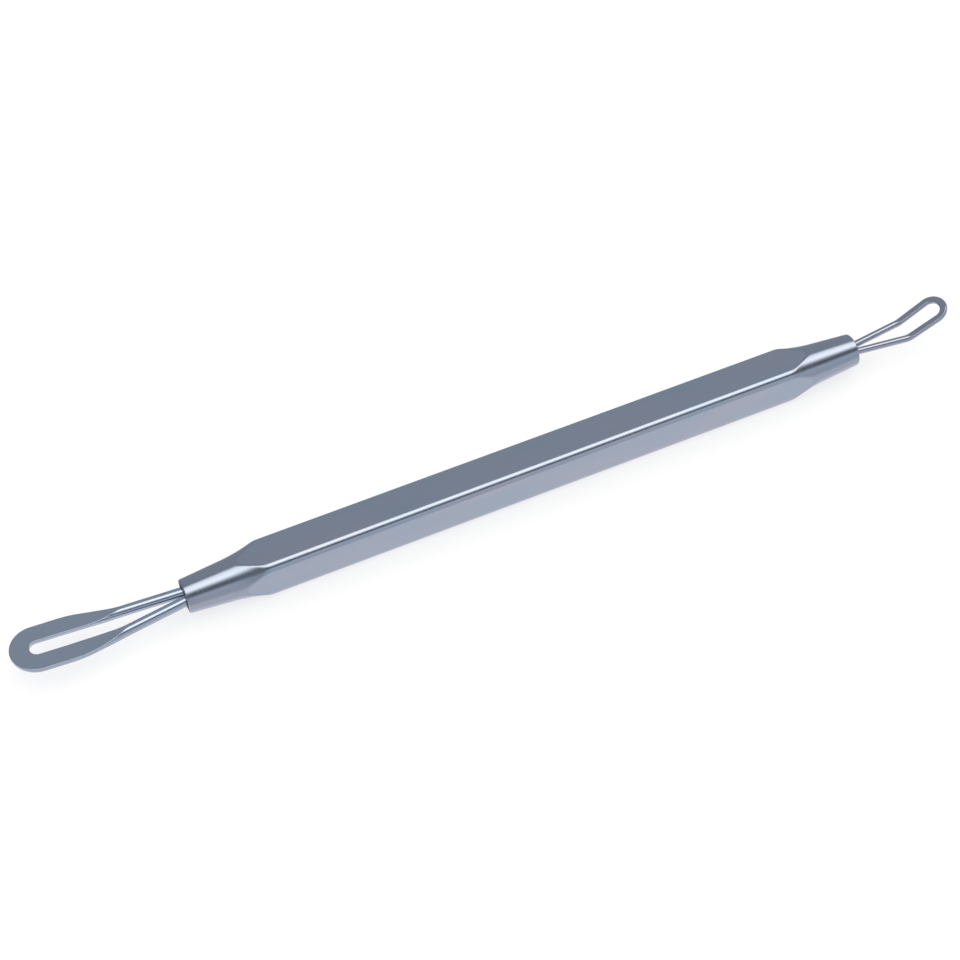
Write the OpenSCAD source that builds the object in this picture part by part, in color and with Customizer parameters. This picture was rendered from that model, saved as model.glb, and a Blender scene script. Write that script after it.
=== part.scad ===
// Double-ended blackhead extractor: a square-bar handle with a wire loop brazed into each
// turned end. The near loop is forged flat like a slotted paddle, the far loop is fine wire
// kinked upwards.
// X runs along the handle with the narrow loop at +X, Z is up, and the origin is the centre
// of the handle's bottom face. All sizes are millimetres and degrees.

/* [Handle] */
// Width and height of the square bar
bar_w = 5.5; // [4.6:0.1:8]
// Rounding radius of the bar's long edges
edge_r = 0.97; // [0.4:0.01:1.6]
// Length of the handle between its two end faces
handle_l = 92; // [60:1:120]
// Diameter of the turned ends at their end faces
tip_d = 4.3; // [4:0.1:5.4]
// Length of the straight taper on each turned end
taper_l = 5.3; // [3:0.1:12]
// Half angle of that taper
taper_angle = 4.7; // [1:0.1:10]
// Radius of the hollow flare between the taper and the bar
flare_r = 22; // [6:1:40]
// Rounding radius of the rim of each end face
rim_r = 0.15; // [0.05:0.01:0.35]

/* [Wide loop] */
// Diameter of the wire
wide_wire_d = 1.35; // [1:0.05:1.4]
// Gap between the two wire ends where they leave the handle
wide_leg_gap = 0.08; // [0.04:0.02:0.4]
// How far the loop stands out of the handle, measured along the middle of the wire
wide_reach = 21.5; // [18:0.1:30]
// Distance from the handle at which the straight legs turn towards the head
wide_knee_x = 13.8; // [11:0.1:16]
// Spacing of the legs there, between their middles
wide_knee_w = 4.35; // [3.6:0.05:4.8]
// Radius of that turn
wide_knee_r = 27; // [5:1:35]
// Width across the loop's round head
wide_head_w = 6.7; // [6:0.1:9]
// Width of the band that the wire is forged to
wide_band_w = 2.4; // [1.6:0.05:2.6]
// Thickness of that band
wide_band_t = 0.58; // [0.4:0.02:0.9]
// Radius of the band's bulging sides
wide_side_r = 0.8; // [0.4:0.05:1.2]
// Rounding radius of the edges between its flats and its sides
wide_corner_r = 0.1; // [0.04:0.01:0.18]
// Length of the flats at their full depth, measured back from the tip
wide_flat_l = 9.5; // [7:0.1:11]
// Length over which the flats run out into the round wire
wide_runout_l = 3.8; // [2:0.1:5]
// Length over which the wire spreads to the width of the band
wide_spread_l = 6.2; // [3:0.1:9]
// Angle by which the legs point down where they leave the handle
wide_droop_angle = 2.7; // [0:0.1:4]
// Distance from the handle at which the loop starts to curve upwards
wide_bend_x = 7.5; // [4:0.1:12]
// Angle of that curve
wide_bend_angle = 7.5; // [0:0.1:10]
// Radius of that curve, along the middle of the wire
wide_bend_r = 20; // [10:5:80]
// Radius at which each leg turns outwards where it leaves the handle
wide_mouth_r = 1.4; // [0.8:0.1:3]
// Length of wire inside the handle
wide_insert_l = 8; // [4:0.5:14]

/* [Narrow loop] */
// Diameter of the wire
narrow_wire_d = 0.93; // [0.7:0.01:1.1]
// Gap between the two wire ends where they leave the handle
narrow_leg_gap = 0.06; // [0.04:0.02:0.4]
// Length of the legs from the handle to the kink
narrow_leg_l = 7.4; // [5:0.1:12]
// Spacing of the legs at the kink, between their middles
narrow_kink_w = 2.9; // [2.4:0.1:3.2]
// Length of the head from the kink to its tip
narrow_head_l = 7; // [5.2:0.1:10]
// Width across the loop's round head
narrow_head_w = 4.2; // [3.6:0.05:5]
// Width of the band that the head is flattened to
narrow_band_w = 0.98; // [0.86:0.01:1.2]
// Thickness of that band
narrow_band_t = 0.64; // [0.4:0.02:0.8]
// Radius of the band's bulging sides
narrow_side_r = 0.42; // [0.34:0.01:0.48]
// Rounding radius of the edges between its flats and its sides
narrow_corner_r = 0.1; // [0.04:0.01:0.16]
// Length over which the flats run out into the round wire, measured from the kink
narrow_runout_l = 1.2; // [0.8:0.1:2.5]
// Angle by which the head is kinked upwards
narrow_kink_angle = 25; // [0:1:35]
// Radius of that kink, along the middle of the wire
narrow_kink_r = 2; // [1:0.1:4]
// Radius at which each leg turns outwards where it leaves the handle
narrow_mouth_r = 1.4; // [0.8:0.1:3]
// Length of wire inside the handle
narrow_insert_l = 6; // [3:0.5:12]

/* [Brazed joints] */
// Thickness of braze metal between the wires and the hole's wall
braze_film = 0.1; // [0.06:0.02:0.2]
// Depth of braze metal behind the wire ends
braze_back = 0.6; // [0.3:0.1:2]
// Depth of the braze metal's surface below the end face
braze_recess = 0.1; // [0:0.05:0.4]
// Point angle of the drill that makes the holes
drill_angle = 118; // [90:1:140]

/* [Hidden] */

// Clearance between the braze metal and what it touches, so that no two solids overlap
seat_gap = 0.01;
// Overshoot of a cutting shape past the face that it cuts
overshoot = 1;

half_l = handle_l / 2;
axis_z = bar_w / 2;
tip_r = tip_d / 2;
// Distance from the bar's axis to the crest of a rounded edge
crest_r = sqrt(2) * (bar_w / 2 - edge_r) + edge_r;
// The turned blank clears the bar, so that the lathe touches only the two ends
blank_r = crest_r + overshoot;

// Half the spacing of the two wire ends, and the hole that takes them both
wide_leg_y = (wide_wire_d + wide_leg_gap) / 2;
narrow_leg_y = (narrow_wire_d + narrow_leg_gap) / 2;
wide_hole_r = wide_leg_y + wide_wire_d / 2 + braze_film;
narrow_hole_r = narrow_leg_y + narrow_wire_d / 2 + braze_film;
// Where the wide loop's flats start to run in, out from the handle
wide_runout_x = wide_reach - wide_flat_l - wide_runout_l;

satin_steel = [0.60, 0.64, 0.70];
forged_steel = [0.52, 0.55, 0.62];
wire_steel = [0.55, 0.56, 0.62];
braze_metal = [0.42, 0.42, 0.44];

// Facets on a full circle of each exact round
round_fn = 96;
// Steps along one side of a wire's section and along one of its rounded edges
side_n = 10;
corner_n = 2;
// Steps along a small bend, along the stretch where the wire is flattened, and along half a head
bend_n = 6;
stretch_n = 14;
head_n = 20;
// Share of its radius at which the round wire counts as flattened, so that its section keeps
// a short level stretch at the top and bottom that the flats can grow from
flat_seed = 0.01;

// Value or point at a share of the way from p to q
function between(p, q, share) = p + (q - p) * share;

// Unit vector at angle a in the plane
function pointing(a) = [cos(a), sin(a)];

// Points of an arc about centre c, with both ends
function arc(c, r, from, to, n) = [for (i = [0 : n]) c + r * pointing(between(from, to, i / n))];

// Points that split the line from p to q into n steps, without its ends
function stretch(p, q, n) = [for (i = [1 : n - 1]) between(p, q, i / n)];

// Corner q of the line p, q, s rounded to radius r
function rounded_corner(p, q, s, r, n) =
    let (
        a_in = atan2(q.y - p.y, q.x - p.x),
        a_out = atan2(s.y - q.y, s.x - q.x),
        turn = a_out - a_in,
        side = turn < 0 ? -1 : 1,
        start = q - r * tan(abs(turn) / 2) * pointing(a_in),
        centre = start + side * r * pointing(a_in + 90)
    )
    arc(centre, r, a_in - side * 90, a_out - side * 90, n);

// Direction of the line from p that is tangent to the far side of a circle at [cx, 0]
function tangent_angle(p, cx, r) =
    asin(r / norm([cx - p.x, p.y])) - atan2(p.y, cx - p.x);

// Place and direction after a run of length s in the upright plane along the handle. It starts
// at the end face along the handle's axis and takes the bends in turn, each of which is
// [length run before it, angle upwards, radius]. Gives [place, direction].
function travelled(s, bends, start = [0, 0], aim = 0, gone = 0, i = 0) =
    i == len(bends) || s <= bends[i][0]
        ? [start + (s - gone) * pointing(aim), aim]
        : let (
            before = bends[i][0],
            angle = bends[i][1],
            r = bends[i][2],
            arc_l = r * abs(angle) * PI / 180,
            turned = angle * min(1, (s - before) / arc_l),
            foot = start + (before - gone) * pointing(aim),
            place = foot + sign(angle) * r * (pointing(aim + 90) - pointing(aim + turned + 90))
        )
            s < before + arc_l
                ? [place, aim + turned]
                : travelled(s, bends, place, aim + angle, before + arc_l, i + 1);

// A point of a flat plan carried to its place on the bent loop, and the loop's up direction there
function bent(p, bends) =
    let (place = travelled(p.x, bends)[0])
        [place.x, p.y, place.y];
function bent_up(p, bends) =
    let (up = pointing(travelled(p.x, bends)[1] + 90))
        [up.x, 0, up.y];

// Smooth step from 0 to 1 as x goes from low to high
function eased(x, low, high) =
    let (s = max(0, min(1, (x - low) / (high - low))))
        s * s * (3 - 2 * s);

// One side of a wire's section, from its bottom edge to its top: a bulging side of radius
// side_r, half_w from the middle, which meets flats at half_h above and below the middle in
// edges rounded to corner_r. Points are [across, up].
function section_side(half_w, half_h, side_r, corner_r) =
    let (
        side_c = half_w - side_r,
        corner_up = half_h - corner_r,
        corner_a = asin(corner_up / (side_r - corner_r)),
        corner_out = side_c + (side_r - corner_r) * cos(corner_a)
    )
    concat(
        arc([corner_out, -corner_up], corner_r, -90, -corner_a, corner_n),
        [for (i = [1 : side_n - 1])
            [side_c, 0] + side_r * pointing(corner_a * (2 * i / side_n - 1))],
        arc([corner_out, corner_up], corner_r, corner_a, 90, corner_n)
    );

// Whole section of a wire of diameter d that is pressed towards a band of width w and
// thickness t: pressed is how far its flats have gone in, spread how far it has widened.
function wire_section(d, w, t, side_r, corner_r, pressed, spread) =
    let (side = section_side(
        between(d / 2, w / 2, spread),
        between(d / 2 * (1 - flat_seed), t / 2, pressed),
        between(d / 2, side_r, pressed),
        corner_r
    ))
    concat(side, -side);

// Unit vector along v
function unit(v) = v / norm(v);

// Direction of travel at point i of a path
function heading(path, i) =
    unit(path[min(i + 1, len(path) - 1)] - path[max(i - 1, 0)]);

// Wire swept along a path as one closed skin. ups holds the section's up direction at each
// point of the path, and sections the section there.
module swept_wire(path, ups, sections) {
    rings = [
        for (i = [0 : len(path) - 1])
            let (
                ahead = heading(path, i),
                across = unit(cross(ups[i], ahead)),
                up = cross(ahead, across)
            )
                for (q = sections[i])
                    path[i] + across * q.x + up * q.y
    ];
    last = len(path) - 1;
    around = len(sections[0]);
    skin = [
        for (i = [0 : last - 1], k = [0 : around - 1])
            let (
                a = i * around + k,
                b = i * around + (k + 1) % around
            )
                each [[a, a + around, b], [b, a + around, b + around]]
    ];
    start_cap = [for (k = [0 : around - 1]) k];
    end_cap = [for (k = [around - 1 : -1 : 0]) last * around + k];
    polyhedron(points = rings, faces = concat([start_cap], skin, [end_cap]));
}

// Whole plan of a loop from the half that ends at its tip
function mirrored_plan(half) =
    let (n = len(half))
        concat(half, [for (i = [n - 2 : -1 : 0]) [half[i].x, -half[i].y]]);

// Point of the line through p and q that lies at x
function at_x(p, q, x) = between(p, q, (x - p.x) / (q.x - p.x));

// Half plan of a loop laid out flat, from the wire's end in the handle to the tip: a straight
// leg from the mouth of its hole to the knee, and from there a line that is tangent to the round
// head. The handle's end face is at x = 0. Finer steps start at runout_x.
function half_plan(insert_l, leg_y, mouth_r, knee, knee_r, reach, head_w, band_w, runout_x) =
    let (
        head_r = (head_w - band_w) / 2,
        cx = reach - head_w / 2,
        inner_end = [-insert_l, leg_y],
        mouth = [0, leg_y],
        a = tangent_angle(knee, cx, head_r),
        head_start = [cx, 0] + head_r * pointing(90 + a),
        turned = rounded_corner(mouth, knee, head_start, knee_r, bend_n),
        runout = at_x(mouth, knee, runout_x)
    )
    concat(
        [inner_end],
        rounded_corner(inner_end, mouth, knee, mouth_r, bend_n),
        runout_x < turned[0].x ? concat([runout], stretch(runout, turned[0], stretch_n)) : [],
        turned,
        stretch(turned[bend_n], head_start, stretch_n),
        arc([cx, 0], head_r, 90 + a, 0, head_n)
    );

// Rounded square outline of the bar
module bar_outline() {
    flat_w = bar_w - 2 * edge_r;
    square([bar_w, flat_w], center = true);
    square([flat_w, bar_w], center = true);
    for (sx = [-1, 1], sy = [-1, 1])
        translate([sx, sy] * flat_w / 2)
            circle(r = edge_r, $fn = round_fn);
}

// What the lathe takes off one end, with the end face on Y = 0, the axis along Y and the
// radius along X
module turning_cut() {
    taper_end = [tip_r + taper_l * tan(taper_angle), -taper_l];
    flare_c = taper_end + flare_r * pointing(taper_angle);
    rim_c = [tip_r - rim_r, -rim_r];
    polygon(concat(
        [[tip_r - rim_r, overshoot]],
        arc(rim_c, rim_r, 90, taper_angle, bend_n),
        [taper_end, flare_c, [flare_c.x, overshoot]]
    ));
    translate(flare_c)
        circle(r = flare_r, $fn = round_fn);
}

// Drilled hole for a loop, with its mouth on X = 0 and its point towards -X
module drilled_hole(r, depth) {
    rotate([0, -90, 0]) {
        cylinder(r = r, h = depth, $fn = round_fn);
        translate([0, 0, depth])
            cylinder(r1 = r, r2 = 0, h = r / tan(drill_angle / 2), $fn = round_fn);
    }
}

// A child built for the +X end moved to one end of the handle: side is 1 or -1
module at_end(side) {
    mirror([side < 0 ? 1 : 0, 0, 0])
        translate([half_l, 0, axis_z])
            children();
}

module handle() {
    color(satin_steel)
        difference() {
            translate([0, 0, axis_z])
                rotate([0, 90, 0])
                    intersection() {
                        linear_extrude(height = handle_l, center = true)
                            bar_outline();
                        rotate_extrude($fn = round_fn)
                            difference() {
                                translate([0, -half_l])
                                    square([blank_r, handle_l]);
                                for (side = [0, 1])
                                    mirror([0, side])
                                        translate([0, half_l])
                                            turning_cut();
                            }
                    }
            at_end(-1)
                drilled_hole(wide_hole_r, wide_insert_l + braze_back);
            at_end(1)
                drilled_hole(narrow_hole_r, narrow_insert_l + braze_back);
        }
}

module wide_loop() {
    plan = mirrored_plan(half_plan(
        wide_insert_l, wide_leg_y, wide_mouth_r, [wide_knee_x, wide_knee_w / 2], wide_knee_r,
        wide_reach, wide_head_w, wide_band_w, wide_runout_x
    ));
    bends = [[0, -wide_droop_angle, wide_mouth_r], [wide_bend_x, wide_bend_angle, wide_bend_r]];
    color(forged_steel)
        at_end(-1)
            swept_wire(
                [for (p = plan) bent(p, bends)],
                [for (p = plan) bent_up(p, bends)],
                [for (p = plan) wire_section(
                    wide_wire_d, wide_band_w, wide_band_t, wide_side_r, wide_corner_r,
                    eased(p.x, wide_runout_x, wide_runout_x + wide_runout_l),
                    eased(p.x, wide_runout_x, wide_runout_x + wide_spread_l)
                )]
            );
}

module narrow_loop() {
    plan = mirrored_plan(half_plan(
        narrow_insert_l, narrow_leg_y, narrow_mouth_r, [narrow_leg_l, narrow_kink_w / 2],
        narrow_kink_r, narrow_leg_l + narrow_head_l, narrow_head_w, narrow_band_w, narrow_leg_l
    ));
    bends = [[narrow_leg_l, narrow_kink_angle, narrow_kink_r]];
    color(wire_steel)
        at_end(1)
            swept_wire(
                [for (p = plan) bent(p, bends)],
                [for (p = plan) bent_up(p, bends)],
                [for (p = plan)
                    let (share = eased(p.x, narrow_leg_l, narrow_leg_l + narrow_runout_l))
                        wire_section(
                            narrow_wire_d, narrow_band_w, narrow_band_t,
                            narrow_side_r, narrow_corner_r, share, share
                        )]
            );
}

// Braze metal that fills a hole round its two wire ends
module braze(hole_r, wire_d, leg_y, insert_l) {
    wire_hole_l = overshoot + insert_l + seat_gap;
    difference() {
        translate([-braze_recess, 0, 0])
            drilled_hole(hole_r - seat_gap, insert_l + braze_back - braze_recess - seat_gap);
        for (side = [-1, 1])
            translate([overshoot, side * leg_y, 0])
                rotate([0, -90, 0])
                    cylinder(d = wire_d + 2 * seat_gap, h = wire_hole_l, $fn = round_fn);
    }
}

module wide_loop_braze() {
    color(braze_metal)
        at_end(-1)
            braze(wide_hole_r, wide_wire_d, wide_leg_y, wide_insert_l);
}

module narrow_loop_braze() {
    color(braze_metal)
        at_end(1)
            braze(narrow_hole_r, narrow_wire_d, narrow_leg_y, narrow_insert_l);
}

handle();
wide_loop();
narrow_loop();
wide_loop_braze();
narrow_loop_braze();
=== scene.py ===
"""Dresses a double-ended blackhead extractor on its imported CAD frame.

The handle and both wire loops are rebuilt as fine meshes from the CAD's sizes, and take the
finish of ground, forged, drawn and brazed metal. Two things differ from the CAD: where the
wide loop's flats run out, and the softened line where the turned ends meet the bar. The
object's sizes are in millimetres and degrees, and the studio's in metres unless they say so.
"""

import logging
import math
from dataclasses import dataclass, field
from enum import Enum
from typing import Any

import bpy
from mathutils import Matrix, Vector


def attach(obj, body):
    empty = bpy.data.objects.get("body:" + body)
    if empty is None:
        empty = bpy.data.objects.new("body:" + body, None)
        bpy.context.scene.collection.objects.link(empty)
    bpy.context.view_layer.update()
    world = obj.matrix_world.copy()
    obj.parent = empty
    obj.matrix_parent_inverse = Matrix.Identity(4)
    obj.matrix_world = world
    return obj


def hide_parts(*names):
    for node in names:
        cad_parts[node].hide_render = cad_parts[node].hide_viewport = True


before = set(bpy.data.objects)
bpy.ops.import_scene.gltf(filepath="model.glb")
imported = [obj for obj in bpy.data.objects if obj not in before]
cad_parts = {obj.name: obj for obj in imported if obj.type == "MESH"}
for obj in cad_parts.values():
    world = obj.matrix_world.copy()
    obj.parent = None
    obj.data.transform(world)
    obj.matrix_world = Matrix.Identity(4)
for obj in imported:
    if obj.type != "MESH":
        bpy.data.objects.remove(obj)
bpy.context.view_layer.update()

LOG = logging.getLogger("extractor")
MM = 0.001
ROOT_BODY = "root"
BAR_W = 5.5
AXIS_Z = BAR_W / 2
HANDLE_L = 92.0
WIRE_MAP = "wire_mm"
# Range of a noise pattern that is spread over its whole output
NOISE_LOW, NOISE_HIGH = 0.3, 0.7


class End(Enum):
    """The end of the handle that a part belongs to, as the sign of its X."""

    WIDE = -1
    NARROW = 1


class Skin(Enum):
    """The finish of a part of the handle, as the number of its material."""

    GROUND = 0
    TURNED = 1
    # End faces and drilled holes, in a copy of the steel painted dark as shade
    CUT = 2


def linear(hex_colour: str) -> tuple[float, float, float, float]:
    """Turns an sRGB hex colour into the linear colour that shaders take.

    Args:
        hex_colour: Colour such as "#a5acb8".

    Returns:
        Linear red, green, blue and an alpha of 1.
    """
    digits = hex_colour.lstrip("#")
    parts = [int(digits[i:i + 2], 16) / 255 for i in (0, 2, 4)]
    red, green, blue = [
        p / 12.92 if p <= 0.04045 else ((p + 0.055) / 1.055) ** 2.4 for p in parts
    ]
    return (red, green, blue, 1.0)


def grey(level: float) -> tuple[float, float, float, float]:
    """Gives an even grey of a linear level."""
    return (level, level, level, 1.0)


def add_node(
    tree: bpy.types.NodeTree,
    kind: str,
    settings: dict[str, Any] | None = None,
    links: dict[str, bpy.types.NodeSocket] | None = None,
) -> bpy.types.Node:
    """Adds one node with its settings and links.

    Args:
        tree: Node tree to add to.
        kind: Blender's type name of the node.
        settings: Values by input identifier or by node property.
        links: Output sockets by the identifier of the input they feed.

    Returns:
        The new node.
    """
    node = tree.nodes.new(kind)
    for name, value in (settings or {}).items():
        if hasattr(node, name):
            setattr(node, name, value)
    inputs = {socket.identifier: socket for socket in node.inputs}
    for name, value in (settings or {}).items():
        if name in inputs:
            inputs[name].default_value = value
    for name, socket in (links or {}).items():
        tree.links.new(socket, inputs[name])
    return node


def new_material(name: str) -> tuple[bpy.types.Material, bpy.types.NodeTree]:
    """Makes an empty node material.

    Args:
        name: Name of the material.

    Returns:
        The material and its node tree without any nodes.
    """
    material = bpy.data.materials.new(name)
    material.use_nodes = True
    material.node_tree.nodes.clear()
    return material, material.node_tree


@dataclass(frozen=True)
class MetalFinish:
    """A metal's colour and gloss, with the fine relief that its making leaves."""

    name: str
    # The two colours that clouds of the polishing film drift between
    cool: str
    warm: str
    # Size of one feature of each pattern along the coordinates it follows
    cloud_mm: tuple[float, float, float]
    gloss_mm: tuple[float, float, float]
    relief_mm: tuple[float, float, float]
    relief_depth_mm: float
    roughness: tuple[float, float]
    # Map in millimetres that the patterns follow, or none for the shared frame
    uv_map: str = ""

    def material(self) -> bpy.types.Material:
        """Builds the material from three noise patterns.

        Returns:
            The material, with clouds of colour, a changing gloss and a fine bump.
        """
        material, tree = new_material(self.name)
        if self.uv_map:
            place = add_node(tree, "ShaderNodeUVMap", {"uv_map": self.uv_map}).outputs["UV"]
            unit_mm = 1.0
        else:
            place = add_node(tree, "ShaderNodeTexCoord").outputs["Object"]
            unit_mm = 1 / MM
        levels = []
        for size_mm, detail, low, high in (
            (self.cloud_mm, 4.0, 0.0, 1.0),
            (self.gloss_mm, 2.0, *self.roughness),
            (self.relief_mm, 2.0, 0.0, 1.0),
        ):
            spread = add_node(
                tree, "ShaderNodeMapping",
                {"Scale": tuple(unit_mm / size for size in size_mm)}, {"Vector": place},
            )
            pattern = add_node(
                tree, "ShaderNodeTexNoise", {"Scale": 1.0, "Detail": detail},
                {"Vector": spread.outputs["Vector"]},
            )
            levels.append(add_node(
                tree, "ShaderNodeMapRange",
                {"From Min": NOISE_LOW, "From Max": NOISE_HIGH, "To Min": low,
                 "To Max": high},
                {"Value": pattern.outputs[0]},
            ).outputs[0])
        colour = add_node(
            tree, "ShaderNodeMix",
            {"data_type": "RGBA", "A_Color": linear(self.cool), "B_Color": linear(self.warm)},
            {"Factor_Float": levels[0]},
        )
        bump = add_node(
            tree, "ShaderNodeBump", {"Strength": 1.0, "Distance": self.relief_depth_mm * MM},
            {"Height": levels[2]},
        )
        shader = add_node(
            tree, "ShaderNodeBsdfPrincipled", {"Metallic": 1.0},
            {"Base Color": colour.outputs[2], "Roughness": levels[1], "Normal": bump.outputs[0]},
        )
        add_node(tree, "ShaderNodeOutputMaterial", links={"Surface": shader.outputs[0]})
        return material


@dataclass(frozen=True)
class GroundBarSteel(MetalFinish):
    """Stainless steel bar, ground lengthwise and barrel finished to a satin.

    It gives the eye a cool slate grey with a silky lengthwise sheen, in which faint bluish and
    mauve clouds of the polishing film come and go.
    """

    name: str = "ground_bar_stainless_steel"
    cool: str = "#aab9c8"
    warm: str = "#b7bac6"
    cloud_mm: tuple[float, float, float] = (16.0, 2.4, 2.4)
    gloss_mm: tuple[float, float, float] = (0.25, 0.25, 0.25)
    # Grinding lines of a 240 grit wheel are about 0.03 mm apart; they are drawn at 0.12 mm to show
    relief_mm: tuple[float, float, float] = (7.0, 0.12, 0.12)
    relief_depth_mm: float = 0.0006
    roughness: tuple[float, float] = (0.16, 0.26)


@dataclass(frozen=True)
class TurnedSteel(MetalFinish):
    """The same stainless steel where the lathe has turned the handle's ends.

    It gives the eye a slightly deeper grey with fine rings round the end.
    """

    name: str = "turned_stainless_steel"
    cool: str = "#a6b2c0"
    warm: str = "#adb1bd"
    cloud_mm: tuple[float, float, float] = (6.0, 2.4, 2.4)
    gloss_mm: tuple[float, float, float] = (0.25, 0.25, 0.25)
    # A finishing feed of 0.08 mm a turn, drawn at 0.16 mm to show
    relief_mm: tuple[float, float, float] = (0.16, 9.0, 9.0)
    relief_depth_mm: float = 0.0005
    roughness: tuple[float, float] = (0.15, 0.23)


@dataclass(frozen=True)
class ShadedCutEndSteel(MetalFinish):
    """The same stainless steel where it was parted off, drilled and heated for brazing.

    Its dark grey is painted shade on the end faces; its dull gloss and the rings of the parting
    tool are the steel's own.
    """

    name: str = "parted_off_steel_painted_shade"
    # Dark greys painted as shade on the end faces, not the steel's own colour
    cool: str = "#6c7078"
    warm: str = "#5f5d60"
    cloud_mm: tuple[float, float, float] = (0.9, 0.9, 0.9)
    gloss_mm: tuple[float, float, float] = (0.2, 0.2, 0.2)
    # A parting tool leaves marks of about 0.05 mm, drawn at 0.12 mm to show
    relief_mm: tuple[float, float, float] = (0.12, 0.12, 0.12)
    relief_depth_mm: float = 0.003
    roughness: tuple[float, float] = (0.34, 0.48)


@dataclass(frozen=True)
class ForgedWireSteel(MetalFinish):
    """Stainless steel wire, forged flat between dies and tumbled with stones.

    It gives the eye a soft blue-grey with a fine, even pitting.
    """

    name: str = "forged_wire_stainless_steel"
    cool: str = "#b4c0cf"
    warm: str = "#b3bcca"
    cloud_mm: tuple[float, float, float] = (1.2, 1.2, 1.2)
    gloss_mm: tuple[float, float, float] = (0.18, 0.18, 0.18)
    # Tumbling stones leave dents of about 0.05 mm, drawn at 0.18 mm to show
    relief_mm: tuple[float, float, float] = (0.18, 0.18, 0.18)
    relief_depth_mm: float = 0.0012
    roughness: tuple[float, float] = (0.15, 0.24)


@dataclass(frozen=True)
class DrawnWireSteel(MetalFinish):
    """Fine stainless steel wire, drawn bright through a die.

    It gives the eye a smooth shine with hair-fine lines along the wire.
    """

    name: str = "drawn_wire_stainless_steel"
    cool: str = "#acb5c2"
    warm: str = "#adaebb"
    cloud_mm: tuple[float, float, float] = (3.0, 0.8, 1.0)
    gloss_mm: tuple[float, float, float] = (6.0, 0.07, 1.0)
    # Die lines are about 0.01 mm apart, drawn at 0.07 mm to show
    relief_mm: tuple[float, float, float] = (6.0, 0.07, 1.0)
    relief_depth_mm: float = 0.0004
    roughness: tuple[float, float] = (0.12, 0.2)
    uv_map: str = WIRE_MAP


@dataclass(frozen=True)
class SilverBraze(MetalFinish):
    """Silver braze metal, flowed in and left as it set.

    It gives the eye a duller, warmer grey with a frosted, slightly lumpy skin.
    """

    name: str = "flowed_silver_braze"
    cool: str = "#a09e9c"
    warm: str = "#7c7a7a"
    cloud_mm: tuple[float, float, float] = (0.08, 0.08, 0.08)
    gloss_mm: tuple[float, float, float] = (0.08, 0.08, 0.08)
    # Braze sets in ripples of about 0.35 mm
    relief_mm: tuple[float, float, float] = (0.35, 0.35, 0.35)
    relief_depth_mm: float = 0.012
    roughness: tuple[float, float] = (0.32, 0.5)


def pointing(angle: float) -> Vector:
    """Gives the unit vector at an angle in a plane."""
    return Vector((math.cos(math.radians(angle)), math.sin(math.radians(angle))))


def arc(centre: Vector, radius: float, start: float, end: float, steps: int) -> list[Vector]:
    """Gives the points of an arc, with both ends.

    Args:
        centre: Centre of the arc.
        radius: Its radius.
        start: Angle of its first point.
        end: Angle of its last point.
        steps: Number of steps between them.

    Returns:
        The points in order.
    """
    return [centre + radius * pointing(start + (end - start) * i / steps)
            for i in range(steps + 1)]


def stretch(first: Vector, last: Vector, steps: int) -> list[Vector]:
    """Splits a line into steps and leaves out its two ends.

    Args:
        first: Start of the line.
        last: End of the line.
        steps: Number of steps.

    Returns:
        The points between the ends.
    """
    return [first.lerp(last, i / steps) for i in range(1, steps)]


def rounded_corner(
    before: Vector, corner: Vector, after: Vector, radius: float, steps: int
) -> list[Vector]:
    """Rounds the corner of a path.

    Args:
        before: Point on the path before the corner.
        corner: The corner itself.
        after: Point on the path after it.
        radius: Radius of the rounding.
        steps: Steps along the rounding.

    Returns:
        The rounding's points.
    """
    angle_in = math.degrees(math.atan2(corner.y - before.y, corner.x - before.x))
    angle_out = math.degrees(math.atan2(after.y - corner.y, after.x - corner.x))
    turn = angle_out - angle_in
    side = -1 if turn < 0 else 1
    start = corner - radius * math.tan(math.radians(abs(turn) / 2)) * pointing(angle_in)
    centre = start + side * radius * pointing(angle_in + 90)
    return arc(centre, radius, angle_in - side * 90, angle_out - side * 90, steps)


def eased(x: float, low: float, high: float) -> float:
    """Steps smoothly from 0 at low to 1 at high."""
    share = max(0.0, min(1.0, (x - low) / (high - low)))
    return share * share * (3 - 2 * share)


def between(low: float, high: float, share: float) -> float:
    """Gives the value at a share of the way from low to high."""
    return low + (high - low) * share


@dataclass(frozen=True)
class Bend:
    """One bend of a loop in the upright plane along the handle."""

    before: float
    angle: float
    radius: float


def travelled(run: float, bends: tuple[Bend, ...]) -> tuple[Vector, float]:
    """Follows a bent line out of the handle.

    Args:
        run: Length that has been travelled from the end face.
        bends: Bends on the way, in order.

    Returns:
        The place in the upright plane, and the direction there.
    """
    place, aim, gone = Vector((0.0, 0.0)), 0.0, 0.0
    for bend in bends:
        if run <= bend.before:
            break
        length = bend.radius * math.radians(abs(bend.angle))
        turned = bend.angle * min(1.0, (run - bend.before) / length)
        foot = place + (bend.before - gone) * pointing(aim)
        side = math.copysign(bend.radius, bend.angle)
        place = foot + side * (pointing(aim + 90) - pointing(aim + turned + 90))
        if run < bend.before + length:
            return place, aim + turned
        aim, gone = aim + bend.angle, bend.before + length
    return place + (run - gone) * pointing(aim), aim


@dataclass(frozen=True)
class Band:
    """The flat band that a round wire is pressed to."""

    width: float
    thickness: float
    side_r: float
    corner_r: float


SIDE_STEPS = 22
CORNER_STEPS = 5
# Share of its radius at which round wire counts as flattened, so that the flats can grow from it
FLAT_SEED = 0.01
# Where the flats get extra points, so that their rounded edges don't shade into them
FLAT_SHARES = (0.02, 0.1, 0.3, 0.5, 0.7, 0.9, 0.98)


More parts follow.
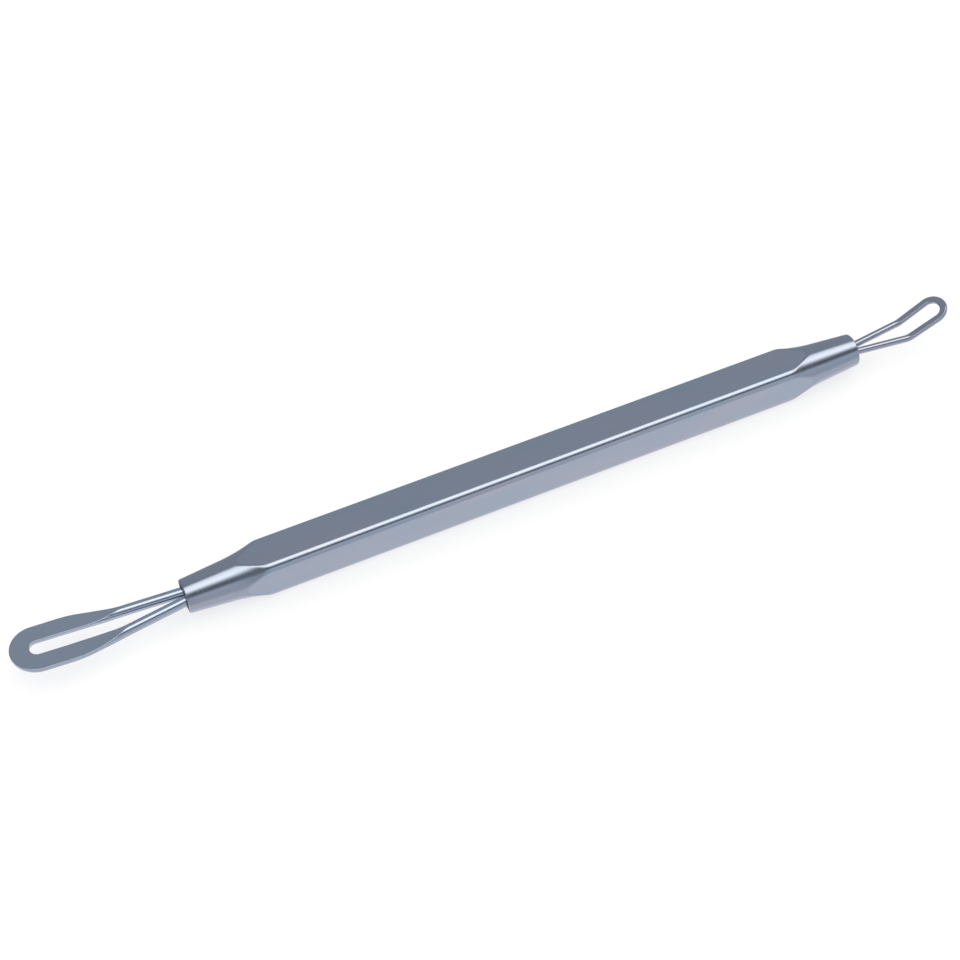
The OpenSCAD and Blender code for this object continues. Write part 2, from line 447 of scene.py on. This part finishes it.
def wire_section(wire_d: float, band: Band, pressed: float, spread: float) -> list[Vector]:
    """Gives the section of a wire that is being pressed to a band.

    Args:
        wire_d: Diameter of the round wire.
        band: The band it is pressed to.
        pressed: How far its flats have gone in, from 0 to 1.
        spread: How far it has widened, from 0 to 1.

    Returns:
        Points as (across, up), round the section.
    """
    half_w = between(wire_d / 2, band.width / 2, spread)
    half_h = between(wire_d / 2 * (1 - FLAT_SEED), band.thickness / 2, pressed)
    side_r = between(wire_d / 2, band.side_r, pressed)
    corner_r = band.corner_r
    side_c = half_w - side_r
    corner_up = half_h - corner_r
    corner_a = math.degrees(math.asin(corner_up / (side_r - corner_r)))
    corner_out = side_c + (side_r - corner_r) * math.cos(math.radians(corner_a))
    side = arc(Vector((corner_out, -corner_up)), corner_r, -90, -corner_a, CORNER_STEPS)
    side += [
        Vector((side_c, 0.0)) + side_r * pointing(corner_a * (2 * i / SIDE_STEPS - 1))
        for i in range(1, SIDE_STEPS)
    ]
    side += arc(Vector((corner_out, corner_up)), corner_r, corner_a, 90, CORNER_STEPS)
    top = [side[-1].lerp(-side[0], share) for share in FLAT_SHARES]
    return side + top + [-p for p in side] + [-p for p in top]


def at_end(point: Vector, end: End) -> Vector:
    """Moves a point from a part's own frame, with X out of the handle, to its end, in metres.

    Args:
        point: Point in millimetres from the middle of the end face.
        end: The end of the handle.

    Returns:
        The point in the shared frame.
    """
    x = end.value * (HANDLE_L / 2 + point.x)
    return Vector((x, point.y, point.z + AXIS_Z)) * MM


def mesh_object(
    name: str, points: list[Vector], faces: list[tuple[int, ...]], flipped: bool
) -> bpy.types.Object:
    """Makes a smooth mesh object in the scene.

    Args:
        name: Name of the object and its mesh.
        points: Vertices in metres.
        faces: Faces as vertex numbers.
        flipped: Whether the faces are mirrored, and so turned round.

    Returns:
        The linked object.
    """
    mesh = bpy.data.meshes.new(name)
    mesh.from_pydata(points, [], [face[::-1] if flipped else face for face in faces])
    mesh.polygons.foreach_set("use_smooth", [True] * len(mesh.polygons))
    mesh.update()
    thing = bpy.data.objects.new(name, mesh)
    bpy.context.scene.collection.objects.link(thing)
    return thing


def settle(thing: bpy.types.Object, node: str, slot: str, *materials: bpy.types.Material) -> None:
    """Lets a built piece stand for its CAD node and gives it its finish.

    Args:
        thing: The piece.
        node: Name of the CAD node.
        slot: Name of the record's material slot.
        materials: Materials of the piece, in slot order.
    """
    for material in materials:
        thing.data.materials.append(material)
    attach(thing, ROOT_BODY)
    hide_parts(node)
    LOG.info("%s: %d faces, %s", thing.name, len(thing.data.polygons), slot)


@dataclass
class WireLoop:
    """A loop of wire, bent double, with its two ends brazed into the handle."""

    node: str
    end: End
    slot: str
    wire_d: float
    leg_gap: float
    insert_l: float
    mouth_r: float
    knee: tuple[float, float]
    knee_r: float
    reach: float
    head_w: float
    band: Band
    runout_x: float
    press_l: float
    spread_l: float
    bends: tuple[Bend, ...]
    insert_steps: int = 4
    bend_steps: int = 20
    line_steps: int = 64
    head_steps: int = 72

    @property
    def leg_y(self) -> float:
        """Half the spacing of the two wire ends."""
        return (self.wire_d + self.leg_gap) / 2

    def half_plan(self) -> list[Vector]:
        """Lays out half of the loop flat, from the wire's end to the tip of the head.

        Returns:
            The points of the wire's middle.
        """
        head_r = (self.head_w - self.band.width) / 2
        centre = Vector((self.reach - self.head_w / 2, 0.0))
        knee = Vector((self.knee[0], self.knee[1] / 2))
        inner_end, mouth = Vector((-self.insert_l, self.leg_y)), Vector((0.0, self.leg_y))
        away = centre - knee
        tangent = math.degrees(
            math.asin(head_r / away.length) - math.atan2(knee.y, away.x)
        )
        head_start = centre + head_r * pointing(90 + tangent)
        turned = rounded_corner(mouth, knee, head_start, self.knee_r, self.bend_steps)
        leaving = rounded_corner(inner_end, mouth, knee, self.mouth_r, self.bend_steps)
        return (
            [inner_end] + stretch(inner_end, leaving[0], self.insert_steps) + leaving
            + stretch(leaving[-1], turned[0], self.line_steps)
            + turned + stretch(turned[-1], head_start, self.line_steps)
            + arc(centre, head_r, 90 + tangent, 0, self.head_steps)
        )

    def build(self) -> bpy.types.Object:
        """Sweeps the wire's changing section round the loop.

        Returns:
            The loop's object, with a map of millimetres along and round the wire.
        """
        half = self.half_plan()
        plan = half + [Vector((p.x, -p.y)) for p in half[-2::-1]]
        path, ups, sections = [], [], []
        for p in plan:
            place, aim = travelled(p.x, self.bends)
            up = pointing(aim + 90)
            path.append(Vector((place.x, p.y, place.y)))
            ups.append(Vector((up.x, 0.0, up.y)))
            sections.append(wire_section(
                self.wire_d, self.band,
                eased(p.x, self.runout_x, self.runout_x + self.press_l),
                eased(p.x, self.runout_x, self.runout_x + self.spread_l),
            ))
        points, along = [], [0.0]
        last, around = len(path) - 1, len(sections[0])
        for i, (place, up, section) in enumerate(zip(path, ups, sections)):
            ahead = (path[min(i + 1, last)] - path[max(i - 1, 0)]).normalized()
            across = up.cross(ahead).normalized()
            true_up = ahead.cross(across)
            points += [at_end(place + across * q.x + true_up * q.y, self.end) for q in section]
            if i:
                along.append(along[-1] + (place - path[i - 1]).length)
        faces = [
            (i * around + k, (i + 1) * around + k,
             (i + 1) * around + (k + 1) % around, i * around + (k + 1) % around)
            for i in range(last) for k in range(around)
        ]
        faces += [tuple(range(around)), tuple(range(last * around, len(points)))[::-1]]
        thing = mesh_object(self.node + "_wire", points, faces, self.end is End.WIDE)
        self.lay_map(thing, along, around)
        return thing

    def lay_map(self, thing: bpy.types.Object, along: list[float], around: int) -> None:
        """Maps the wire's skin in millimetres along and round the wire.

        Args:
            thing: The loop's object.
            along: Length along the wire at each ring.
            around: Number of points in a ring.
        """
        girth = math.pi * self.wire_d
        layer = thing.data.uv_layers.new(name=WIRE_MAP)
        for face in thing.data.polygons:
            turns = [thing.data.loops[i].vertex_index % around for i in face.loop_indices]
            wrapped = max(turns) - min(turns) > around / 2
            for i, turn in zip(face.loop_indices, turns):
                ring = thing.data.loops[i].vertex_index // around
                step = turn + around if wrapped and turn < around / 2 else turn
                layer.data[i].uv = (along[ring], girth * step / around)

    def make(self, material: bpy.types.Material) -> None:
        """Builds the loop and dresses it."""
        settle(self.build(), self.node, self.slot, material)


@dataclass
class Handle:
    """The square bar with its rounded long edges and its two turned ends."""

    node: str = "handle"
    slot: str = "satin_handle"
    edge_r: float = 0.97
    tip_d: float = 4.3
    taper_l: float = 5.3
    taper_angle: float = 4.7
    flare_r: float = 22.0
    rim_r: float = 0.15
    drill_angle: float = 118.0
    # Half width of the softened line where the turning runs out into the bar
    crossing_soft: float = 0.45
    hole_edge_r: float = 0.06
    # Radius of the tip that the hole's rings stop at
    hole_tip_r: float = 0.02
    edge_steps: int = 16
    rim_steps: int = 6
    hole_edge_steps: int = 4
    taper_steps: int = 10
    flare_steps: int = 10
    crossing_steps: int = 5
    bar_steps: int = 16
    # Where each flat side and the end face get extra points, so that edges don't shade into them
    flat_shares: tuple[float, ...] = (
        0.01, 0.05, 0.15, 0.3, 0.4, 0.5, 0.6, 0.7, 0.85, 0.95, 0.99,
    )
    face_shares: tuple[float, ...] = (0.02, 0.5, 0.95)
    # Radius and depth of the drilled hole at each end
    holes: dict[End, tuple[float, float]] = field(default_factory=dict)

    def outline(self) -> list[Vector]:
        """Gives the bar's rounded square outline, with extra points beside its edges.

        Returns:
            Points in the plane across the bar, once round.
        """
        half_w = BAR_W / 2
        flat = half_w - self.edge_r
        quarter = arc(Vector((flat, flat)), self.edge_r, 0, 90, self.edge_steps)
        across = [Vector((between(flat, -flat, share), half_w)) for share in self.flat_shares]
        side = quarter + across
        turns = [Matrix.Rotation(math.radians(90 * i), 2) for i in range(4)]
        return [turn @ p for turn in turns for p in side]

    def line(self, reach: float) -> list[tuple[float, float]]:
        """Follows the turned end from its rim to where it meets the bar.

        Args:
            reach: Distance of the bar's surface from its axis on this line.

        Returns:
            Pairs of radius and depth below the end face.
        """
        tip_r = self.tip_d / 2
        rim = arc(Vector((tip_r - self.rim_r, -self.rim_r)), self.rim_r, 90,
                  self.taper_angle, self.rim_steps)
        taper_end = Vector((
            tip_r + self.taper_l * math.tan(math.radians(self.taper_angle)), -self.taper_l,
        ))
        centre = taper_end + self.flare_r * pointing(self.taper_angle)
        meet = math.degrees(math.acos((centre.x - reach) / self.flare_r))
        soft = math.degrees(self.crossing_soft / self.flare_r)
        flare = [
            centre - self.flare_r * pointing(between(self.taper_angle, meet - soft, share))
            for share in (i / self.flare_steps for i in range(self.flare_steps + 1))
        ]
        crossing = centre - self.flare_r * pointing(meet)
        landing = Vector((reach, crossing.y - self.crossing_soft))
        buffed = [
            flare[-1].lerp(crossing, share).lerp(crossing.lerp(landing, share), share)
            for share in (i / self.crossing_steps for i in range(1, self.crossing_steps + 1))
        ]
        beyond = Vector((reach, crossing.y - 2 * self.crossing_soft))
        line = rim + stretch(rim[-1], taper_end, self.taper_steps) + flare + buffed + [beyond]
        return [(p.x, -p.y) for p in line]

    def bore(self, end: End) -> list[tuple[float, float]]:
        """Follows a drilled hole from its tip out over its edge and the end face.

        Args:
            end: The end of the handle.

        Returns:
            Pairs of radius and depth below the end face.
        """
        radius, depth = self.holes[end]
        slope = math.tan(math.radians(self.drill_angle / 2))
        edge = arc(Vector((radius + self.hole_edge_r, -self.hole_edge_r)), self.hole_edge_r,
                   180, 90, self.hole_edge_steps)
        points = [(self.hole_tip_r, depth + (radius - self.hole_tip_r) / slope),
                  (radius, depth), (radius, depth / 2)]
        points += [(p.x, -p.y) for p in edge]
        face_r = self.tip_d / 2 - self.rim_r
        return points + [(between(edge[-1].x, face_r, share), 0.0) for share in self.face_shares]

    def end_rings(self, end: End) -> tuple[list[list[Vector]], list[Skin]]:
        """Lays the rings of one end, from the tip of its hole out to the bar.

        Args:
            end: The end of the handle.

        Returns:
            The rings in metres, and the skin between each ring and the next.
        """
        outline = self.outline()
        bore = self.bore(end)
        lines = [self.line(p.length) for p in outline]
        followed = [bore + line for line in lines]
        rings = [
            [at_end(Vector((-points[j][1], *(p.normalized() * points[j][0]))), end)
             for p, points in zip(outline, followed)]
            for j in range(len(followed[0]))
        ]
        skins = [Skin.CUT] * len(bore) + [Skin.TURNED] * (len(lines[0]) - 2) + [Skin.GROUND]
        return rings, skins

    def build(self) -> bpy.types.Object:
        """Builds the bar, its turned ends and its drilled holes as one closed skin.

        Returns:
            The handle's object, with each face's skin as its material number.
        """
        wide, wide_skins = self.end_rings(End.WIDE)
        narrow, narrow_skins = self.end_rings(End.NARROW)
        first, last = wide[-1], narrow[-1]
        middle = [
            [a.lerp(b, step / self.bar_steps) for a, b in zip(first, last)]
            for step in range(1, self.bar_steps)
        ]
        rings = wide + middle + narrow[::-1]
        skins = wide_skins + [Skin.GROUND] * self.bar_steps + narrow_skins[::-1]
        around = len(first)
        points = [p for ring in rings for p in ring]
        faces = [
            (i * around + k, i * around + (k + 1) % around,
             (i + 1) * around + (k + 1) % around, (i + 1) * around + k)
            for i in range(len(rings) - 1) for k in range(around)
        ]
        faces += [tuple(range(around))[::-1], tuple(range(len(points) - around, len(points)))]
        thing = mesh_object(self.node + "_bar", points, faces, True)
        numbers = [skin.value for skin in skins for _ in range(around)] + [Skin.CUT.value] * 2
        thing.data.polygons.foreach_set("material_index", numbers)
        return thing

    def make(self, *skins: bpy.types.Material) -> None:
        """Builds the handle and dresses it with the materials in the order of Skin."""
        settle(self.build(), self.node, self.slot, *skins)


@dataclass
class BrazedJoint:
    """Braze metal that fills a hole in the handle round its two wire ends."""

    node: str
    loop: WireLoop
    slot: str = "braze"
    # Gap between the wires and the hole's wall, and between their ends and its bottom
    film: float = 0.1
    back: float = 0.6

    @property
    def hole(self) -> tuple[float, float]:
        """Radius and depth of the drilled hole that takes the wire ends."""
        radius = self.loop.leg_y + self.loop.wire_d / 2 + self.film
        return radius, self.loop.insert_l + self.back

    def make(self, material: bpy.types.Material) -> None:
        """Dresses the CAD's own braze metal.

        Args:
            material: Finish of the braze metal.
        """
        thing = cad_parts[self.node]
        thing.data.materials.clear()
        thing.data.materials.append(material)
        LOG.info("%s: CAD shape kept, %s", self.node, self.slot)


@dataclass(frozen=True)
class Board:
    """A board that lies on the floor along the object, from one Y to another in metres."""

    near: float
    far: float
    level: float
    tint: str


@dataclass
class LightTent:
    """A tent of diffusing cloth and boards, which only the metal's shine picks up.

    The cloth is an arch along the object, and its angles count up from the floor in front.
    Its sizes are in metres.
    """

    radius: float = 0.55
    length: float = 2.4
    angle_steps: int = 120
    length_steps: int = 60
    # Brightness of the cloth itself, and what the lamps behind it add, by angle
    cloth: tuple[tuple[float, float], ...] = (
        (0, 0.7), (12, 0.7), (20, 0.8), (27, 0.68), (33, 0.4), (38, 0.36), (48, 0.36),
        (60, 0.38), (90, 0.4), (115, 0.42), (129, 0.48), (180, 0.46),
    )
    lamps: tuple[tuple[float, float], ...] = (
        (50, 0.0), (56, 0.17), (62, 0.69), (68, 1.18), (78, 1.8), (90, 1.65), (100, 1.28),
        (105, 0.68), (109, 0.06), (112, 0.0),
    )
    # Share of the cloth's light that a dark drape hides, by angle, and where it comes in
    drape: tuple[tuple[float, float], ...] = (
        (27, 0.0), (33, 0.15), (38, 0.5), (48, 0.5), (60, 0.25), (75, 0.0),
    )
    drape_edge: tuple[float, float] = (-0.2, -0.08)
    # Share of the cloth's light that a fold hides beyond the wide loop, and where it comes in
    fold: float = 0.25
    fold_edge: tuple[float, float] = (-0.12, -0.19)
    cloth_tint: str = "#ecf3ff"
    lamp_tint: str = "#fffaf5"
    # Where the lamps' light starts and ends along X, each with the X where it is full
    lamp_edges: tuple[float, float, float, float] = (-0.31, -0.21, 0.9, 1.0)
    boards: tuple[Board, ...] = (
        Board(-0.55, -0.0105, 0.66, "#f2f4ff"), Board(-0.0105, -0.0032, 0.84, "#fafaff"),
        Board(-0.0032, 0.003, 0.96, "#fdf8ff"), Board(0.003, 0.55, 0.44, "#ecf3ff"),
    )
    board_z: float = 0.0002
    # Radius of the middle of the tent's two ends, where the cloth is gathered
    gather_r: float = 0.02
    attribute: str = "cloth_light"

    @staticmethod
    def level(angle: float, stops: tuple[tuple[float, float], ...]) -> float:
        """Reads a brightness between its stops.

        Args:
            angle: Angle above the floor in front.
            stops: Pairs of angle and brightness, in order.

        Returns:
            The brightness at that angle.
        """
        if angle <= stops[0][0]:
            return stops[0][1]
        for (low, first), (high, last) in zip(stops, stops[1:]):
            if angle <= high:
                return between(first, last, (angle - low) / (high - low))
        return stops[-1][1]

    def light(self, angle: float, x: float) -> Vector:
        """Gives the light that leaves the tent at one place.

        Args:
            angle: Angle above the floor in front.
            x: Place along the object.

        Returns:
            Its linear colour.
        """
        start, full, fading, end = self.lamp_edges
        share = eased(x, start, full) * (1 - eased(x, fading, end))
        clear = 1 - self.level(angle, self.drape) * eased(x, *self.drape_edge)
        clear *= 1 - self.fold * eased(x, *self.fold_edge)
        cloth = Vector(linear(self.cloth_tint)[:3]) * self.level(angle, self.cloth) * clear
        return cloth + Vector(linear(self.lamp_tint)[:3]) * self.level(angle, self.lamps) * share

    def material(self) -> bpy.types.Material:
        """Builds the glow that the mesh's own colours drive.

        Returns:
            The material of the cloth and the boards.
        """
        material, tree = new_material("lit_tent_cloth")
        glow = add_node(tree, "ShaderNodeAttribute", {"attribute_name": self.attribute})
        cloth = add_node(tree, "ShaderNodeEmission", {"Strength": 1.0},
                         {"Color": glow.outputs["Color"]})
        add_node(tree, "ShaderNodeOutputMaterial", links={"Surface": cloth.outputs[0]})
        return material

    def sheet(
        self, name: str, rows: list[list[Vector]], colours: list[list[Vector]],
        material: bpy.types.Material,
    ) -> None:
        """Hangs one sheet that glossy rays alone can see.

        Args:
            name: Name of the sheet.
            rows: Rows of points in metres.
            colours: Linear colour at each point.
            material: The cloth's material.
        """
        across = len(rows[0])
        faces = [
            (i * across + k, i * across + k + 1, (i + 1) * across + k + 1, (i + 1) * across + k)
            for i in range(len(rows) - 1) for k in range(across - 1)
        ]
        sheet = mesh_object(name, [p for row in rows for p in row], faces, False)
        glow = sheet.data.attributes.new(self.attribute, "FLOAT_COLOR", "POINT")
        glow.data.foreach_set(
            "color", [value for row in colours for colour in row for value in (*colour, 1.0)]
        )
        sheet.data.materials.append(material)
        sheet.visible_camera = False
        sheet.visible_diffuse = False
        sheet.visible_shadow = False
        sheet.visible_transmission = False

    def make(self) -> None:
        """Hangs the arch of cloth with its two gathered ends, and lays the boards."""
        material = self.material()
        half = self.length / 2
        places = [
            (self.length * (i / self.length_steps - 0.5), self.radius)
            for i in range(self.length_steps + 1)
        ]
        places = [(-half, self.gather_r)] + places + [(half, self.gather_r)]
        angles = [180 * i / self.angle_steps for i in range(self.angle_steps + 1)]
        rows = [
            [Vector((x, -radius * pointing(angle).x, radius * pointing(angle).y))
             for x, radius in places]
            for angle in angles
        ]
        colours = [[self.light(angle, x) for x, _ in places] for angle in angles]
        self.sheet("studio_tent", rows, colours, material)
        for number, board in enumerate(self.boards):
            rows = [[Vector((x, y, self.board_z)) for x in (-half, half)]
                    for y in (board.near, board.far)]
            colour = Vector(linear(board.tint)[:3]) * board.level
            self.sheet(f"studio_board_{number}", rows, [[colour] * 2] * 2, material)


@dataclass
class Studio:
    """Pale floor, overhead softbox, light tent and the camera."""

    floor_w: float = 4.0
    # A hair under the object, so that its flat underside and the floor don't share a plane
    floor_z: float = -0.00003
    floor_colour: str = "#a4a4a4"
    # What the floor's own light adds for the eye, so that it reads as white outside the shadow
    floor_glow: float = 0.67
    world_fill: float = 0.85
    softbox_size: tuple[float, float] = (1.2, 0.7)
    softbox_place: tuple[float, float, float] = (0.0, -0.02, 0.5)
    softbox_radiance: float = 0.35
    tent: LightTent = field(default_factory=LightTent)
    # Focal length and sensor width in millimetres
    lens: float = 75.0
    sensor: float = 36.0
    # Where the camera looks, in degrees, and its aim and distance in millimetres
    camera_azimuth: float = 20.987
    camera_elevation: float = 48.859
    camera_roll: float = -4.15
    camera_aim: tuple[float, float] = (-6.678, 1.086)
    camera_distance: float = 249.351
    # Nearest and farthest distance that the camera sees, in metres
    camera_clip: tuple[float, float] = (0.01, 20.0)

    def seen_light(self, tree: bpy.types.NodeTree) -> bpy.types.NodeSocket:
        """Tells the rays that see the background from those that light the object.

        Args:
            tree: Node tree to add to.

        Returns:
            1 for camera, glossy and transmission rays, and 0 for the rest.
        """
        path = add_node(tree, "ShaderNodeLightPath").outputs
        first = add_node(
            tree, "ShaderNodeMath", {"operation": "MAXIMUM"},
            {"Value": path["Is Camera Ray"], "Value_001": path["Is Glossy Ray"]},
        )
        seen = add_node(
            tree, "ShaderNodeMath", {"operation": "MAXIMUM"},
            {"Value": first.outputs[0], "Value_001": path["Is Transmission Ray"]},
        )
        return seen.outputs[0]

    def make_world(self) -> None:
        """Makes a world that is white to the eye and a soft fill to the object."""
        world = bpy.data.worlds.new("studio_air")
        world.use_nodes = True
        tree = world.node_tree
        tree.nodes.clear()
        level = add_node(
            tree, "ShaderNodeMapRange", {"To Min": self.world_fill, "To Max": 1.0},
            {"Value": self.seen_light(tree)},
        )
        air = add_node(tree, "ShaderNodeBackground", {"Color": grey(1.0)},
                       {"Strength": level.outputs[0]})
        add_node(tree, "ShaderNodeOutputWorld", links={"Surface": air.outputs[0]})
        bpy.context.scene.world = world

    def make_floor(self) -> None:
        """Makes the pale floor, which reads as white where no shadow falls."""
        half = self.floor_w / 2
        ends = [Vector((x, y, self.floor_z)) for x, y in
                ((-half, -half), (half, -half), (half, half), (-half, half))]
        floor = mesh_object("studio_floor", ends, [(0, 1, 2, 3)], False)
        material, tree = new_material("matt_white_board")
        board = add_node(tree, "ShaderNodeBsdfDiffuse", {"Color": linear(self.floor_colour)})
        level = add_node(tree, "ShaderNodeMath",
                         {"operation": "MULTIPLY", "Value_001": self.floor_glow},
                         {"Value": self.seen_light(tree)})
        glow = add_node(tree, "ShaderNodeEmission", {"Color": grey(1.0)},
                        {"Strength": level.outputs[0]})
        both = add_node(tree, "ShaderNodeAddShader",
                        links={"Shader": board.outputs[0], "Shader_001": glow.outputs[0]})
        add_node(tree, "ShaderNodeOutputMaterial", links={"Surface": both.outputs[0]})
        floor.data.materials.append(material)

    def make_softbox(self) -> None:
        """Hangs the overhead softbox."""
        lamp = bpy.data.lights.new("softbox", "AREA")
        lamp.shape = "RECTANGLE"
        lamp.size, lamp.size_y = self.softbox_size
        lamp.energy = self.softbox_radiance * math.pi * lamp.size * lamp.size_y
        box = bpy.data.objects.new("softbox", lamp)
        box.location = self.softbox_place
        box.visible_camera = False
        box.visible_glossy = False
        bpy.context.scene.collection.objects.link(box)

    def make_camera(self) -> None:
        """Sets the camera at the photograph's viewpoint."""
        azimuth, elevation = math.radians(self.camera_azimuth), math.radians(self.camera_elevation)
        back = Vector((
            -math.sin(azimuth) * math.cos(elevation),
            -math.cos(azimuth) * math.cos(elevation), math.sin(elevation),
        ))
        level = Vector((math.cos(azimuth), -math.sin(azimuth), 0.0))
        rise = back.cross(level)
        roll = math.radians(self.camera_roll)
        right = level * math.cos(roll) + rise * math.sin(roll)
        up = rise * math.cos(roll) - level * math.sin(roll)
        aim = Vector((*self.camera_aim, AXIS_Z))
        place = (aim + back * self.camera_distance) * MM
        data = bpy.data.cameras.new("photo_camera")
        data.lens = self.lens
        data.sensor_width = self.sensor
        data.clip_start, data.clip_end = self.camera_clip
        camera = bpy.data.objects.new("photo_camera", data)
        turn = Matrix((right, up, back)).transposed().to_4x4()
        camera.matrix_world = Matrix.Translation(place) @ turn
        bpy.context.scene.collection.objects.link(camera)
        bpy.context.scene.camera = camera

    def make(self) -> None:
        """Builds the whole studio."""
        self.make_camera()
        self.make_world()
        self.make_floor()
        self.make_softbox()
        self.tent.make()
        bpy.context.scene.view_settings.view_transform = "Standard"
        LOG.info("studio: floor, softbox, tent, %d boards and camera", len(self.tent.boards))


def main() -> None:
    """Builds the studio and the extractor."""
    logging.basicConfig(level=logging.INFO, format="%(name)s: %(message)s")
    Studio().make()
    wide = WireLoop(
        node="wide_loop", end=End.WIDE, slot="forged_wire", wire_d=1.35, leg_gap=0.08,
        insert_l=8.0, mouth_r=1.4, knee=(13.8, 4.35), knee_r=27.0, reach=21.5, head_w=6.7,
        band=Band(width=2.4, thickness=0.58, side_r=0.8, corner_r=0.1),
        # The flats start 0.9 mm nearer the handle than the CAD's, and end where those end
        runout_x=7.3, press_l=4.7, spread_l=7.1,
        bends=(Bend(before=0.0, angle=-2.7, radius=1.4),
               Bend(before=7.5, angle=7.5, radius=20.0)),
    )
    narrow = WireLoop(
        node="narrow_loop", end=End.NARROW, slot="drawn_wire", wire_d=0.93, leg_gap=0.06,
        insert_l=6.0, mouth_r=1.4, knee=(7.4, 2.9), knee_r=2.0, reach=14.4, head_w=4.2,
        band=Band(width=0.98, thickness=0.64, side_r=0.42, corner_r=0.1),
        runout_x=7.4, press_l=1.2, spread_l=1.2,
        bends=(Bend(before=7.4, angle=25.0, radius=2.0),),
    )
    joints = (
        BrazedJoint(node="wide_loop_braze", loop=wide),
        BrazedJoint(node="narrow_loop_braze", loop=narrow),
    )
    Handle(holes={joint.loop.end: joint.hole for joint in joints}).make(
        GroundBarSteel().material(), TurnedSteel().material(), ShadedCutEndSteel().material()
    )
    wide.make(ForgedWireSteel().material())
    narrow.make(DrawnWireSteel().material())
    braze = SilverBraze().material()
    for joint in joints:
        joint.make(braze)
    bpy.context.view_layer.update()


if __name__ == "__main__":
    main()
